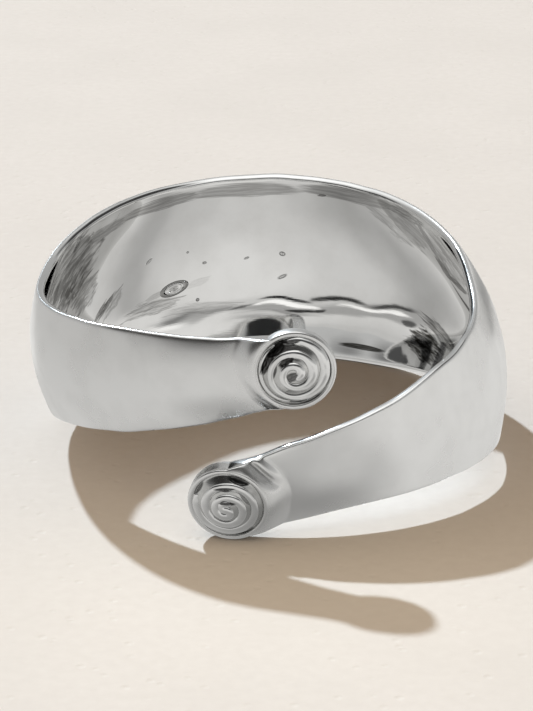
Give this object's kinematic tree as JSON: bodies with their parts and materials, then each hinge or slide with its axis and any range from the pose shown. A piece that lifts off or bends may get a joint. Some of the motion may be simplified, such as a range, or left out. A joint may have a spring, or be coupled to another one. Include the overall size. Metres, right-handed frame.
{
  "type": "upper arm cuff",
  "caption": "Open bypass upper arm cuff in polished silver: a wide crowned band that tapers to crossing ends, each with a disc bearing a raised coil.",
  "frame": {"origin": "on the surface it lies on, under the middle of its outline", "axes": "+Z along the arm's axis, up from the surface; the crossing ends face -Y; the upper end comes from -X"},
  "size_m": [0.08, 0.0875, 0.0366],
  "materials": {
    "silver": "polished"
  },
  "bodies": {
    "root": {"cuff": "silver"}
  },
  "joints": []
}
